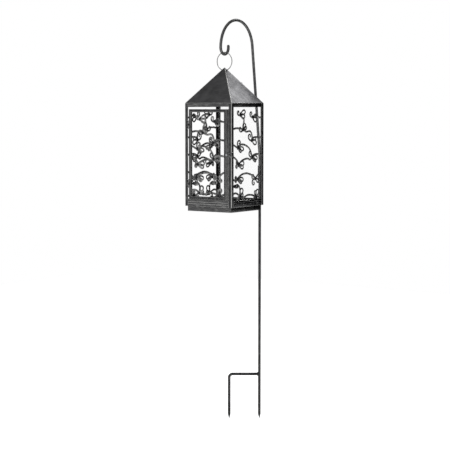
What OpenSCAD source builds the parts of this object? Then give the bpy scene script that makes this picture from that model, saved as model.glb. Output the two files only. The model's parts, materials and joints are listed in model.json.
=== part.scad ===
// Solar garden lantern hung from a two-piece shepherd's hook with a two-pronged ground fork.
// Millimetres, +Z up. The origin is on the pole's axis at the ground line, which is the
// underside of the fork's crossbar. The lantern's door faces -Y and the pole stands behind it.

/* [Stake] */
// Diameter of the steel rod of the pole, the fork and the hook
rod_d = 7; // [5:0.5:9]
// Depth of the two prong tips below the ground line
ground_depth = 114; // [70:1:160]
// Distance from the pole's axis to the second prong's axis
fork_width = 79; // [50:1:110]
// Direction of the second prong from the pole, seen from above
fork_turn = 215.6; // [180:0.1:260]
// Centreline radius of the bend in the fork
fork_bend_r = 9; // [7:0.5:14]
// Length of the point on each prong
tip_len = 12; // [6:1:20]
// Radius of a prong's blunt point
tip_r = 0.5; // [0.3:0.1:1]
// Section radius of the weld bead between fork and pole
weld_r = 1.3; // [0.8:0.1:2]

/* [Coupling] */
// Height of the coupling sleeve's lower end
sleeve_z = 507; // [420:1:620]
// Length of the coupling sleeve
sleeve_len = 42; // [30:1:60]
// Wall of the coupling sleeve
sleeve_wall = 1.7; // [1:0.1:3]
// Radial clearance between the rods and the sleeve's bore
sleeve_gap = 0.05; // [0.03:0.01:0.1]
// Gap between the ends of the two rods inside the sleeve
rod_end_gap = 0.5; // [0.2:0.1:2]

/* [Hook] */
// Distance from the pole's axis to the hook's seat and the lantern's axis
reach = 158.5; // [130:0.5:191]
// Height of the centre of the hook's large bend and of its seat bend
hook_z = 847; // [700:1:1020]
// Centreline radius of the large bend over the top
arch_r = 70; // [50:1:90]
// Centreline radius of the seat bend that holds the ring
seat_r = 16.5; // [13:0.5:22]
// Height at which the hook rod starts to lean
lean_z = 556; // [540:1:680]
// Centreline radius of the gentle bend where the rod starts to lean
lean_r = 250; // [150:5:400]
// Straight length above the seat bend, below the rounded tip
hook_tip_len = 4; // [1:0.5:12]

/* [Ring] */
// Centreline radius of the hanging ring
ring_r = 22.4; // [18:0.1:30]
// Diameter of the ring's wire
ring_wire_d = 2.2; // [1.6:0.1:3]
// Gap between the ring's wire and the hook's seat
ring_gap = 0.3; // [0.2:0.1:0.6]

/* [Lantern] */
// Outside width and depth of the lantern's body
body_w = 141; // [110:1:170]
// Height of the roof's point above the lowest point of the hanging ring's centreline
ring_hole_drop = 8.2; // [6:0.1:12]
// Height of the pyramid roof above the eave line
roof_h = 89.3; // [70:0.1:100]
// Height of the body from the eave line down to the plinth
body_h = 254.5; // [200:0.5:310]
// Thickness of the roof's sheet, measured straight through it
roof_t = 1; // [0.8:0.1:1.6]
// Radius of the holes in the roof that the ring passes through
ring_hole_r = 2.6; // [2.2:0.1:3.2]
// Width of each leg of the corner posts
post_leg = 9; // [7:0.5:14]
// Thickness of the posts', rails' and skirt's sheet
sheet_t = 1.5; // [1:0.1:2]
// Height of the top rails
rail_h = 8.5; // [6:0.5:14]
// Height of the skirt band below the openings
skirt_h = 16.5; // [10:0.5:26]
// Height of the plinth below the skirt
plinth_h = 12.3; // [8:0.1:20]
// How far the plinth is set in from the body's faces
plinth_inset = 5; // [3:0.5:8]
// Thickness of the floor plate and of the ceiling plate
plate_t = 1.2; // [0.8:0.1:2]

/* [Panels] */
// Thickness of the cut scrollwork panels
scroll_t = 1.2; // [0.8:0.1:2]
// Width of the scrollwork's strokes
scroll_w = 2.4; // [1.6:0.1:3.2]
// How far a panel reaches behind the posts, rails and skirt
panel_lap = 5; // [3:0.5:6]
// Thickness of the glass pane in the back
pane_t = 2; // [1.5:0.1:3]

/* [Door] */
// Gap between the hinge-side post and the door
hinge_gap = 3; // [2.6:0.1:4]
// Gap between the latch-side post and the door
latch_gap = 1; // [0.8:0.1:2]
// Gap between the top rail and the door
door_top_gap = 6; // [2:0.5:10]
// Gap between the skirt and the door
door_foot_gap = 1; // [0.6:0.1:3]
// Thickness of the door's frame
door_t = 3; // [2:0.1:4]
// Width of the door's frame members
door_frame_w = 6.5; // [5:0.1:9]
// Width of the folded strip beside the latch-side member
latch_strip_w = 6.5; // [5:0.1:9]

/* [Hinges and latch] */
// Length of a hinge
hinge_len = 20; // [16:1:30]
// Distance of the hinges' centres from the middle of the door
hinge_offset = 73; // [40:1:90]
// Outside radius of a hinge knuckle
knuckle_r = 2.2; // [1.9:0.1:2.5]
// Radius of a hinge pin
pin_r = 1; // [0.8:0.1:1.2]
// Radial clearance of the hinge pins and the latch's rivet
pin_gap = 0.05; // [0.03:0.01:0.1]
// Gap between neighbouring knuckles of a hinge
knuckle_gap = 0.3; // [0.2:0.05:0.5]
// Thickness of the hinge leaves and the latch plates
leaf_t = 1.2; // [0.8:0.1:1.6]
// Width of a hinge leaf
leaf_w = 5.5; // [4:0.5:7]
// Height of the latch's centre above the bottom of the body
latch_rise = 129; // [60:1:180]
// Radius of the latch hook's rivet
rivet_r = 1.5; // [1.2:0.1:2]
// Radius of the keeper's peg
peg_r = 1.2; // [1:0.1:1.6]
// Gap between the latch hook and what it lies over
latch_lift = 0.3; // [0.2:0.05:0.5]

/* [Solar module] */
// Width of the square solar cell
cell_w = 46; // [36:1:48]
// Thickness of the solar cell's laminate
cell_t = 2; // [1.5:0.1:3]
// Width of the bezel's border round the cell
bezel_w = 5; // [4:0.5:7]
// Height of the bezel above its gasket
bezel_h = 4; // [3:0.5:6]
// Thickness of the gasket under the bezel
gasket_t = 1; // [0.6:0.1:2]
// Clearance between the corners of the battery holder and the inside of the housing
housing_gap = 1.5; // [1:0.1:3]
// Height of the module's housing above the ceiling plate
module_h = 34; // [30:1:36]
// Wall of the module's plastic parts
module_wall = 1.8; // [1.4:0.1:2.4]
// Radius of the LED's lens
lens_r = 9; // [7:0.5:11]
// Diameter of the rechargeable cell
battery_d = 10.5; // [10:0.1:11]
// Length of the rechargeable cell
battery_len = 44.5; // [37:0.5:54]
// Travel of the switch's slider
switch_travel = 3; // [2:0.5:4]

/* [Hidden] */
$fn = 48;

rod_r = rod_d / 2;
wire_r = ring_wire_d / 2;
half = body_w / 2;
inner = half - sheet_t;
open_half = half - post_leg;

// The rods' ends meet in the middle of the sleeve.
joint_z = sleeve_z + sleeve_len / 2;
sleeve_bore = rod_r + sleeve_gap;

// The hook is drawn in a plane where s runs away from the pole. Its straight part is the
// line that touches both the gentle bend and the large bend.
arch_s = reach + seat_r - arch_r;
bend_dr = arch_r - lean_r;
bend_ds = arch_s - lean_r;
bend_dz = hook_z - lean_z;
straight_len = sqrt(bend_ds * bend_ds + bend_dz * bend_dz - bend_dr * bend_dr);
lean = atan2(bend_ds, bend_dz) - atan2(bend_dr, straight_len);

seat_z = hook_z - seat_r;
ring_z = seat_z + rod_r + ring_gap + wire_r - ring_r;
ring_foot_z = ring_z - ring_r;

// The lantern hangs from the ring, so the eave follows the ring and the roof's height.
eave_z = ring_foot_z + ring_hole_drop - roof_h;
body_z = eave_z - body_h;
skirt_top = body_z + skirt_h;
rail_foot = eave_z - rail_h;
plinth_z = body_z - plinth_h;
plinth_lip = 12;

// The roof's pitch, and the drop of its inner surface straight down.
pitch = atan2(roof_h, half);
roof_drop = roof_t / cos(pitch);

door_x0 = -open_half + hinge_gap;
door_x1 = open_half - latch_gap;
door_z0 = skirt_top + door_foot_gap;
door_z1 = rail_foot - door_top_gap;
door_mid_z = (door_z0 + door_z1) / 2;
door_back = -half + door_t;
hinge_x = -open_half + hinge_gap / 2;
hinge_y = -half - knuckle_r;
knuckle_len = (hinge_len - 2 * knuckle_gap) / 3;
leaf_clear = knuckle_r + 0.3;
pin_head = 1.8;

latch_z = body_z + latch_rise;
latch_hole_x = door_x1 - latch_strip_w / 2;
peg_inset = 2.5;
peg_x = open_half + peg_inset;
latch_arm_y = -half - leaf_t - latch_lift;
keeper_h = 11;
latch_arm_h = 6;
notch_r = peg_r + 0.3;
notch_turn = asin(notch_r / (peg_x - latch_hole_x));
notch_sweep = 60;
plate_gap = 0.05;
hook_t = leaf_t - 2 * plate_gap;

scroll_rows = 6;
lobe_r = 6;

module_z = eave_z + plate_t;
flange_w = 6;
base_z = eave_z - 2.5;
base_t = 2;
base_fit = 0.15;
board_t = 1.6;
board_z = base_z + base_t + 2.5;
holder_t = 2;
holder_wall = 1.2;
holder_margin = 1;
spring_room = 4;
contact_t = 1;
holder_half = (battery_len + spring_room + contact_t) / 2;
board_r = norm([holder_half + holder_wall, battery_d / 2 + holder_margin]);
module_r = board_r + housing_gap + module_wall;
holder_z = board_z + board_t;
battery_z = holder_z + holder_t + battery_d / 2 + 0.2;
battery_foot_x = -holder_half + spring_room;
switch_y = -15;
cell_seat = 0.30;
lead_r = 1.2;
floor_rivet_at = half - plinth_inset - 7;
floor_rivet_r = 1.6;
ceiling_half = open_half + 4;
screw_at = open_half + 2;
screw_r = 1;
screw_post_x = module_r - module_wall - 6;
lens_foot = rail_foot + 0.5;
clip_h = rail_h - panel_lap - sheet_t;
clip_half_w = 4;
clip_t = 1;
clip_grip = 2.5;
lens_taper = 3;
lens_taper_h = 2;
lens_wall = 1.5;
led_r = 2.5;
led_len = 5;
contact_half_w = 3;
slider_w = 3;
slider_depth = 2.4;
switch_w = 11;
switch_depth = 7;
slide_gap = 0.3;
spring_wire_r = 0.4;
spring_r = 3;
spring_turns = 3;
spring_steps = 12 * spring_turns;
ball_extra = 0.03;

// The lead leaves the slope straight, dips, and climbs over the edge of the housing. Each
// pair is a distance outside the housing's wall and a height over its top.
module_top = module_z + module_h;
lead_entry = 20;
lead_top = [0, half * (1 - cell_seat), eave_z + roof_h * cell_seat];
lead_out = [0, sin(pitch), cos(pitch)];
lead_bends = [[12, -12.9], [9, -13.2], [6.5, -11.2], [5, -7.7], [3.5, -3.7], [1, 0.8],
    [-3, 3.8], [-9, 5.3], [-15, 5.1], [-18.5, 3.3], [-lead_entry, 1.3], [-lead_entry, 0]];
lead_route = concat(
    [for (depth = [1 + cell_t - gasket_t - bezel_h, 0, 2, 4]) lead_top - depth * lead_out],
    [for (bend = lead_bends) [0, module_r + bend[0], module_top + bend[1]]]);

spring_route = [for (i = [0:spring_steps])
    [-holder_half + spring_wire_r + (spring_room - 2 * spring_wire_r) * i / spring_steps,
     spring_r * cos(30 * i), battery_z + spring_r * sin(30 * i)]];

steel = [0.16, 0.16, 0.17];
bright = [0.78, 0.78, 0.80];

function unit(v) = v / norm(v);

module at_lantern() translate([0, -reach, 0]) children();

// Repeats its child on the four sides of the lantern.
module four_sides() for (turn = [0:90:270]) rotate([0, 0, turn]) children();

// Places its child with z standing out of the back slope of the roof.
module on_back_slope()
    at_lantern()
        translate([0, half * (1 - cell_seat), eave_z + roof_h * cell_seat])
            rotate([-pitch, 0, 0]) children();

// A rod along +z with a blunt point at its lower end, at z = 0.
module pointed_rod(length) {
    cylinder(h = tip_len, r1 = tip_r, r2 = rod_r);
    translate([0, 0, tip_len]) cylinder(h = length - tip_len, r = rod_r);
}

// A bent stretch of rod in the XZ plane, about the origin, from angle a0 through the sweep.
module rod_arc(radius, a0, sweep)
    rotate([90, 0, 0]) rotate([0, 0, a0]) rotate_extrude(angle = sweep)
        translate([radius, 0]) circle(r = rod_r);

// A round wire through the listed points; aside is a direction that it never runs along.
module swept_wire(points, radius, sides, aside) {
    n = len(points);
    skin = [for (i = [0:n - 1])
        let (t = unit(points[min(i + 1, n - 1)] - points[max(i - 1, 0)]),
             u = unit(cross(aside, t)),
             v = cross(t, u))
        for (k = [0:sides - 1])
            points[i] + radius * (cos(360 * k / sides) * u + sin(360 * k / sides) * v)];
    walls = [for (i = [0:n - 2]) for (k = [0:sides - 1])
        [i * sides + k, (i + 1) * sides + k,
         (i + 1) * sides + (k + 1) % sides, i * sides + (k + 1) % sides]];
    first = [for (k = [0:sides - 1]) k];
    last = [for (k = [sides - 1:-1:0]) (n - 1) * sides + k];
    polyhedron(points = skin, faces = concat([first], walls, [last]));
}

module lower_pole() color(steel)
    translate([0, 0, -ground_depth])
        pointed_rod(ground_depth + joint_z - rod_end_gap / 2);

module fork_prong() color(steel) rotate([0, 0, fork_turn]) difference() {
    union() {
        translate([0, 0, rod_r]) rotate([0, 90, 0])
            cylinder(h = fork_width - fork_bend_r, r = rod_r);
        translate([fork_width - fork_bend_r, 0, rod_r - fork_bend_r])
            rod_arc(fork_bend_r, 0, 90);
        translate([fork_width, 0, -ground_depth])
            pointed_rod(ground_depth + rod_r - fork_bend_r);
    }
    translate([0, 0, -rod_d]) cylinder(h = 3 * rod_d, r = rod_r + sleeve_gap);
}

module fork_weld() color(steel) rotate([0, 0, fork_turn]) difference() {
    translate([rod_r + weld_r / 2, 0, rod_r]) rotate([0, 90, 0])
        rotate_extrude() translate([rod_r + weld_r / 3, 0]) circle(r = weld_r);
    translate([0, 0, -rod_d]) cylinder(h = 4 * rod_d, r = rod_r + sleeve_gap);
    translate([0, 0, rod_r]) rotate([0, 90, 0])
        cylinder(h = 4 * rod_d, r = rod_r + sleeve_gap);
}

module coupling_sleeve() color(steel) translate([0, 0, sleeve_z]) difference() {
    cylinder(h = sleeve_len, r = sleeve_bore + sleeve_wall);
    translate([0, 0, -1]) cylinder(h = sleeve_len + 2, r = sleeve_bore);
}

// The hook is bent from one rod. A ball a hair over the rod's radius sits where two
// stretches meet, so that they join as one solid.
module bend_ball() sphere(r = rod_r + ball_extra);

module hook_rod() color(steel) rotate([0, 0, -90]) {
    translate([0, 0, joint_z + rod_end_gap / 2])
        cylinder(h = lean_z - joint_z - rod_end_gap / 2, r = rod_r);
    translate([0, 0, lean_z]) bend_ball();
    translate([lean_r, 0, lean_z]) rod_arc(lean_r, 180 - lean, lean);
    translate([lean_r * (1 - cos(lean)), 0, lean_z + lean_r * sin(lean)]) {
        bend_ball();
        rotate([0, lean, 0]) {
            cylinder(h = straight_len, r = rod_r);
            translate([0, 0, straight_len]) bend_ball();
        }
    }
    translate([arch_s, 0, hook_z]) rod_arc(arch_r, 0, 180 - lean);
    translate([reach + seat_r, 0, hook_z]) bend_ball();
    translate([reach, 0, hook_z]) rod_arc(seat_r, 180, 180);
    translate([reach - seat_r, 0, hook_z]) {
        bend_ball();
        cylinder(h = hook_tip_len, r = rod_r);
        translate([0, 0, hook_tip_len]) rotate_extrude() intersection() {
            circle(r = rod_r);
            square(rod_r);
        }
    }
}

module hanging_ring() color(bright) at_lantern() translate([0, 0, ring_z])
    rotate([90, 0, 0]) rotate_extrude() translate([ring_r, 0]) circle(r = wire_r);

// A four-sided pyramid with square base and point.
module pyramid(half_width, height)
    rotate([0, 0, 45]) cylinder(h = height, r1 = half_width * sqrt(2), r2 = 0, $fn = 4);

module roof_shell() color(steel) difference() {
    at_lantern() translate([0, 0, eave_z]) pyramid(half, roof_h);
    at_lantern() translate([0, 0, eave_z - 1])
        pyramid((roof_h + 1 - roof_drop) / tan(pitch), roof_h + 1 - roof_drop);
    at_lantern() translate([-half, 0, ring_foot_z]) rotate([0, 90, 0])
        cylinder(h = body_w, r = ring_hole_r);
    on_back_slope() translate([0, 0, -5]) cylinder(h = 10, r = lead_r + 1);
}

module top_rails() color(steel) at_lantern() four_sides() difference() {
    union() {
        translate([-open_half, -half, rail_foot]) cube([2 * open_half, sheet_t, rail_h]);
        translate([-open_half, -half, eave_z - sheet_t])
            cube([2 * open_half, post_leg, sheet_t]);
    }
    translate([0, -screw_at, eave_z - 2 * sheet_t]) cylinder(h = 3 * sheet_t, r = screw_r);
}

// An angle post at the corner of the given turn.
module post(turn) color(steel) at_lantern() rotate([0, 0, turn])
    translate([-half, -half, body_z]) difference() {
        cube([post_leg, post_leg, body_h]);
        translate([sheet_t, sheet_t, -1]) cube([post_leg, post_leg, body_h + 2]);
    }

module skirt_panels() color(steel) at_lantern() four_sides()
    translate([-open_half, -half, body_z]) cube([2 * open_half, sheet_t, skirt_h]);

module plinth_pan() color(steel) at_lantern() translate([0, 0, plinth_z]) difference() {
    w = body_w - 2 * plinth_inset;
    translate([-w / 2, -w / 2, 0]) cube([w, w, plinth_h]);
    translate([-w / 2 + sheet_t, -w / 2 + sheet_t, sheet_t])
        cube([w - 2 * sheet_t, w - 2 * sheet_t, plinth_h - 2 * sheet_t]);
    translate([-w / 2 + plinth_lip, -w / 2 + plinth_lip, sheet_t])
        cube([w - 2 * plinth_lip, w - 2 * plinth_lip, plinth_h]);
    for (x = [-1, 1], y = [-1, 1])
        translate([x * floor_rivet_at, y * floor_rivet_at, plinth_h - 2 * sheet_t])
            cylinder(h = 3 * sheet_t, r = floor_rivet_r);
}
module floor_plate() color(steel) at_lantern() difference() {
    w = 2 * inner;
    translate([-inner, -inner, body_z]) cube([w, w, plate_t]);
    for (x = [-1, 1], y = [-1, 1])
        translate([x * floor_rivet_at, y * floor_rivet_at, body_z - 1])
            cylinder(h = plate_t + 2, r = floor_rivet_r);
}

module floor_rivets() color(bright) at_lantern()
    for (x = [-1, 1], y = [-1, 1])
        translate([x * floor_rivet_at, y * floor_rivet_at, 0]) {
            translate([0, 0, body_z - sheet_t]) cylinder(h = sheet_t + plate_t, r = floor_rivet_r);
            translate([0, 0, body_z + plate_t]) cylinder(h = 1, r = 2 * floor_rivet_r);
            translate([0, 0, body_z - sheet_t - 1]) cylinder(h = 1, r = 2 * floor_rivet_r);
        }

// A stroke of scrollwork along an arc, centred on the origin, in the XZ plane.
module scroll_arc(radius, a0, sweep)
    rotate([90, 0, 0]) rotate([0, 0, a0]) rotate_extrude(angle = sweep)
        translate([radius - scroll_w / 2, -scroll_t]) square([scroll_w, scroll_t]);

// Scrollwork for an opening, from its lower left corner at the origin, with its front at y = 0.
module scroll_panel(w, h, lap) {
    row_h = h / scroll_rows;
    sway = row_h / 2;
    difference() {
        translate([-lap, 0, -lap]) cube([w + 2 * lap, scroll_t, h + 2 * lap]);
        translate([1, -1, 1]) cube([w - 2, scroll_t + 2, h - 2]);
    }
    for (side = [0, 1], row = [0:scroll_rows - 1]) {
        out = (row + side) % 2;
        stem_x = w * (0.25 + 0.5 * side);
        translate([stem_x, 0, (row + 0.5) * row_h]) {
            scroll_arc(sway, 90 + 180 * out, 180);
            translate([(sway - lobe_r) * (out == 1 ? 1 : -1), 0, 0]) scroll_arc(lobe_r, 0, 360);
        }
    }
    for (row = [1:scroll_rows - 1])
        translate([0, 0, row * row_h - scroll_w / 2]) cube([w, scroll_t, scroll_w]);
}

module side_scrollwork(turn) color(steel) at_lantern() rotate([0, 0, turn])
    translate([-open_half, -inner, skirt_top])
        scroll_panel(2 * open_half, rail_foot - skirt_top, panel_lap);

module back_pane() color([0.85, 0.92, 0.92, 0.35]) at_lantern()
    translate([-open_half - panel_lap, inner - pane_t, skirt_top - panel_lap])
        cube([2 * (open_half + panel_lap), pane_t, rail_foot - skirt_top + 2 * panel_lap]);

// A bent clip at the pane's lower edge, or at its upper edge when upside down.
module pane_clip(upside_down) mirror([0, 0, upside_down ? 1 : 0]) {
    translate([-clip_half_w, inner - pane_t - clip_t, -clip_h])
        cube([2 * clip_half_w, pane_t + clip_t, clip_h]);
    translate([-clip_half_w, inner - pane_t - clip_t, -clip_h])
        cube([2 * clip_half_w, clip_t, clip_h + clip_grip]);
}

module pane_clips() color(bright) at_lantern() for (x = [-0.6, 0.6]) {
    translate([x * open_half, 0, skirt_top - panel_lap]) pane_clip(false);
    translate([x * open_half, 0, rail_foot + panel_lap]) pane_clip(true);
}

// The stack of knuckles of one hinge: post side carries the outer two, door side the middle.
module knuckles(indices) for (i = indices)
    translate([0, 0, -hinge_len / 2 + i * (knuckle_len + knuckle_gap)])
        cylinder(h = knuckle_len, r = knuckle_r);

// One hinge leaf with its knuckles; side is -1 for the post's and 1 for the door's.
module hinge_leaf(side, indices) translate([hinge_x, hinge_y, 0]) difference() {
    union() {
        knuckles(indices);
        translate([side > 0 ? leaf_clear : -leaf_clear - leaf_w, knuckle_r - leaf_t,
                   -hinge_len / 2])
            cube([leaf_w, leaf_t, hinge_len]);
        for (i = indices)
            translate([side > 0 ? 0 : -leaf_clear - 1, knuckle_r - leaf_t,
                       -hinge_len / 2 + i * (knuckle_len + knuckle_gap)])
                cube([leaf_clear + 1, leaf_t, knuckle_len]);
    }
    translate([0, 0, -hinge_len]) cylinder(h = 2 * hinge_len, r = pin_r + pin_gap);
}

module at_hinges() at_lantern() for (side = [-1, 1])
    translate([0, 0, door_mid_z + side * hinge_offset]) children();

module hinge_post_leaves() color(steel) at_hinges() hinge_leaf(-1, [0, 2]);

module hinge_door_leaves() color(steel) at_hinges() hinge_leaf(1, [1]);

module hinge_pins() color(bright) at_hinges() translate([hinge_x, hinge_y, 0]) {
    translate([0, 0, -hinge_len / 2]) cylinder(h = hinge_len, r = pin_r);
    translate([0, 0, hinge_len / 2]) cylinder(h = 1, r = pin_head);
    translate([0, 0, -hinge_len / 2 - 1]) cylinder(h = 1, r = pin_head);
}

module door_frame() color(steel) at_lantern() difference() {
    translate([door_x0, -half, door_z0])
        cube([door_x1 - latch_strip_w - door_x0, door_t, door_z1 - door_z0]);
    translate([door_x0 + door_frame_w, -half - 1, door_z0 + door_frame_w])
        cube([door_x1 - door_x0 - 2 * door_frame_w - latch_strip_w, door_t + 2,
              door_z1 - door_z0 - 2 * door_frame_w]);
}

// The folded strip that stiffens the latch side; the latch's rivet passes through it.
module latch_strip() color(steel) at_lantern() difference() {
    translate([door_x1 - latch_strip_w, -half, door_z0])
        cube([latch_strip_w, door_t, door_z1 - door_z0]);
    translate([latch_hole_x, -half - 1, latch_z]) rotate([-90, 0, 0])
        cylinder(h = door_t + 2, r = rivet_r + pin_gap);
}
module door_scrollwork() color(steel) at_lantern()
    translate([door_x0 + door_frame_w, door_back, door_z0 + door_frame_w])
        scroll_panel(door_x1 - door_x0 - 2 * door_frame_w - latch_strip_w,
                     door_z1 - door_z0 - 2 * door_frame_w, panel_lap);

module latch_rivet() color(bright) at_lantern() translate([latch_hole_x, 0, latch_z])
    rotate([-90, 0, 0]) {
        translate([0, 0, latch_arm_y - leaf_t])
            cylinder(h = -latch_arm_y + leaf_t + door_back, r = rivet_r);
        translate([0, 0, latch_arm_y - leaf_t - 1]) cylinder(h = 1, r = 1.7 * rivet_r);
        translate([0, 0, door_back]) cylinder(h = 1, r = 1.7 * rivet_r);
    }

module latch_washer() color(bright) at_lantern() translate([latch_hole_x, -half, latch_z])
    rotate([90, 0, 0]) difference() {
        cylinder(h = -half - latch_arm_y - plate_gap, r = 1.7 * rivet_r);
        translate([0, 0, -1]) cylinder(h = leaf_t + 3, r = rivet_r + pin_gap);
    }

// A flat hook that drops over the keeper's peg from above. Its notch is cut along the arc
// that the peg takes past it, so that the hook lifts clear.
module latch_hook() color(steel) at_lantern()
    translate([0, latch_arm_y - plate_gap, 0]) rotate([90, 0, 0]) difference() {
        union() {
            translate([latch_hole_x, latch_z, 0]) cylinder(h = hook_t, r = latch_arm_h / 2);
            translate([latch_hole_x, latch_z - latch_arm_h / 2, 0])
                cube([peg_x - latch_hole_x, latch_arm_h, hook_t]);
            translate([peg_x, latch_z, 0]) cylinder(h = hook_t, r = latch_arm_h / 2);
        }
        translate([latch_hole_x, latch_z, -1]) cylinder(h = leaf_t + 2, r = rivet_r + pin_gap);
        translate([latch_hole_x, latch_z, -1]) rotate([0, 0, -notch_sweep])
            rotate_extrude(angle = notch_sweep + notch_turn)
                translate([peg_x - latch_hole_x - notch_r, 0]) square([2 * notch_r, leaf_t + 2]);
    }

// An angle clip round the front right corner, with the peg that the hook drops over.
module latch_keeper() color(bright) at_lantern() {
    translate([0, 0, latch_z - keeper_h / 2]) difference() {
        translate([open_half, -half - leaf_t, 0]) cube([post_leg + leaf_t, post_leg, keeper_h]);
        translate([open_half - 1, -half, -1]) cube([post_leg + 1, post_leg, keeper_h + 2]);
    }
    translate([peg_x, -half - leaf_t, latch_z]) rotate([90, 0, 0])
        cylinder(h = latch_lift + leaf_t + 1, r = peg_r);
}

module ceiling_plate() color(steel) at_lantern() difference() {
    translate([-ceiling_half, -ceiling_half, eave_z])
        cube([2 * ceiling_half, 2 * ceiling_half, plate_t]);
    translate([0, 0, eave_z - 1]) cylinder(h = plate_t + 2, r = module_r + 0.2);
    for (turn = [0:90:270]) rotate([0, 0, turn]) translate([0, screw_at, eave_z - 1])
        cylinder(h = plate_t + 2, r = screw_r);
}

module ceiling_screws() color(bright) at_lantern() four_sides()
    translate([0, -screw_at, eave_z - sheet_t]) {
        cylinder(h = sheet_t + plate_t, r = screw_r);
        translate([0, 0, sheet_t + plate_t]) cylinder(h = 1, r = 2 * screw_r);
    }

module cell_gasket() color([0.08, 0.08, 0.08]) on_back_slope() difference() {
    w = cell_w + 2 * bezel_w;
    translate([-w / 2, -w / 2, 0]) cube([w, w, gasket_t]);
    translate([-cell_w / 2, -cell_w / 2, -1]) cube([cell_w, cell_w, gasket_t + 2]);
}

module cell_bezel() color([0.1, 0.1, 0.1]) on_back_slope() translate([0, 0, gasket_t])
    difference() {
        w = cell_w + 2 * bezel_w;
        view_w = cell_w - 3;
        translate([-w / 2, -w / 2, 0]) cube([w, w, bezel_h]);
        translate([-cell_w / 2, -cell_w / 2, -1]) cube([cell_w, cell_w, bezel_h]);
        translate([-view_w / 2, -view_w / 2, 0]) cube([view_w, view_w, bezel_h + 1]);
    }

module solar_cell() color([0.07, 0.09, 0.2]) on_back_slope()
    translate([-cell_w / 2, -cell_w / 2, gasket_t + bezel_h - 1 - cell_t])
        cube([cell_w, cell_w, cell_t]);

module lead_grommet() color([0.08, 0.08, 0.08]) on_back_slope() difference() {
    translate([0, 0, -roof_t]) cylinder(h = roof_t, r = lead_r + 1);
    translate([0, 0, -2]) cylinder(h = 4, r = lead_r + 0.1);
}

// The lead from the cell's back, through the grommet, to the top of the module's housing.
module solar_lead() color([0.1, 0.1, 0.1]) at_lantern()
    swept_wire(lead_route, lead_r, 8, [1, 0, 0]);

module module_housing() color([0.9, 0.9, 0.88]) at_lantern() difference() {
    union() {
        difference() {
            union() {
                translate([0, 0, base_z]) cylinder(h = module_z + module_h - base_z, r = module_r);
                translate([0, 0, module_z]) cylinder(h = module_wall, r = module_r + flange_w);
            }
            translate([0, 0, base_z - 1])
                cylinder(h = module_z + module_h - module_wall - base_z + 1,
                         r = module_r - module_wall);
        }
        for (turn = [0, 180]) rotate([0, 0, turn])
            translate([screw_post_x - 3, -3, base_z + base_t])
                cube([module_r - module_wall - screw_post_x + 3.5, 6, 2.3]);
    }
    for (x = [-1, 1]) translate([x * screw_post_x, 0, base_z])
        cylinder(h = board_z - base_z, r = screw_r);
}

module module_base() color([0.9, 0.9, 0.88]) at_lantern() difference() {
    translate([0, 0, base_z]) cylinder(h = base_t, r = module_r - module_wall - base_fit);
    translate([0, 0, base_z - 1]) cylinder(h = base_t + 2, r = lens_r + 0.1);
    translate([-(switch_travel + slider_w) / 2 - 1, switch_y - 2, base_z - 1])
        cube([switch_travel + slider_w + 2, 4, base_t + 2]);
    for (x = [-1, 1]) translate([x * screw_post_x, 0, base_z - 1])
        cylinder(h = base_t + 2, r = screw_r);
}

module base_screws() color(bright) at_lantern() for (x = [-1, 1])
    translate([x * screw_post_x, 0, base_z]) {
        cylinder(h = base_t + 2, r = screw_r);
        translate([0, 0, -1]) cylinder(h = 1, r = 2 * screw_r);
    }

module led_lens() color([0.95, 0.95, 0.95, 0.5]) at_lantern() difference() {
    union() {
        translate([0, 0, base_z + base_t]) cylinder(h = 1, r = lens_r + lens_wall);
        translate([0, 0, lens_foot + lens_taper_h])
            cylinder(h = base_z + base_t - lens_foot - lens_taper_h, r = lens_r);
        translate([0, 0, lens_foot])
            cylinder(h = lens_taper_h, r1 = lens_r - lens_taper, r2 = lens_r);
    }
    translate([0, 0, lens_foot + lens_taper_h])
        cylinder(h = rail_h + base_t, r = lens_r - lens_wall);
}

module led() color([1, 0.85, 0.5]) at_lantern() translate([0, 0, board_z - led_len]) {
    cylinder(h = led_len, r = led_r);
    sphere(r = led_r);
}

module circuit_board() color([0.1, 0.4, 0.2]) at_lantern() translate([0, 0, board_z])
    cylinder(h = board_t, r = board_r);

module battery_holder() color([0.1, 0.1, 0.1]) at_lantern()
    translate([0, -battery_d / 2 - holder_margin, holder_z]) {
        depth = battery_d + 2 * holder_margin;
        translate([-holder_half, 0, 0]) cube([2 * holder_half, depth, holder_t]);
        for (x = [-holder_half - holder_wall, holder_half]) translate([x, 0, 0])
            cube([holder_wall, depth, holder_t + battery_d]);
    }

module battery() color([0.2, 0.5, 0.3]) at_lantern()
    translate([battery_foot_x, 0, battery_z]) rotate([0, 90, 0]) {
        cylinder(h = battery_len - 1, r = battery_d / 2);
        translate([0, 0, battery_len - 1]) cylinder(h = 1, r = 1.8);
    }

// The coil presses the cell towards the plate at the other end of the holder.
module contact_spring() color(bright) at_lantern()
    swept_wire(spring_route, spring_wire_r, 8, [1, 0, 0]);

module contact_plate() color(bright) at_lantern()
    translate([holder_half - contact_t, -contact_half_w, battery_z - contact_half_w])
        cube([contact_t, 2 * contact_half_w, 2 * contact_half_w]);

module switch_body() color([0.1, 0.1, 0.1]) at_lantern()
    translate([0, switch_y, base_z + base_t + 0.2]) difference() {
        slot_w = slider_w + switch_travel + 2;
        translate([-switch_w / 2, -switch_depth / 2, 0])
            cube([switch_w, switch_depth, board_z - base_z - base_t - 0.2]);
        translate([-slot_w / 2, -slider_depth / 2 - slide_gap, -1])
            cube([slot_w, slider_depth + 2 * slide_gap, 2.5]);
    }

module switch_slider() color([0.1, 0.1, 0.1]) at_lantern()
    translate([-(switch_travel + slider_w) / 2, switch_y - slider_depth / 2, base_z - 1.5])
        cube([slider_w, slider_depth, base_t + 2.7]);

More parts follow.
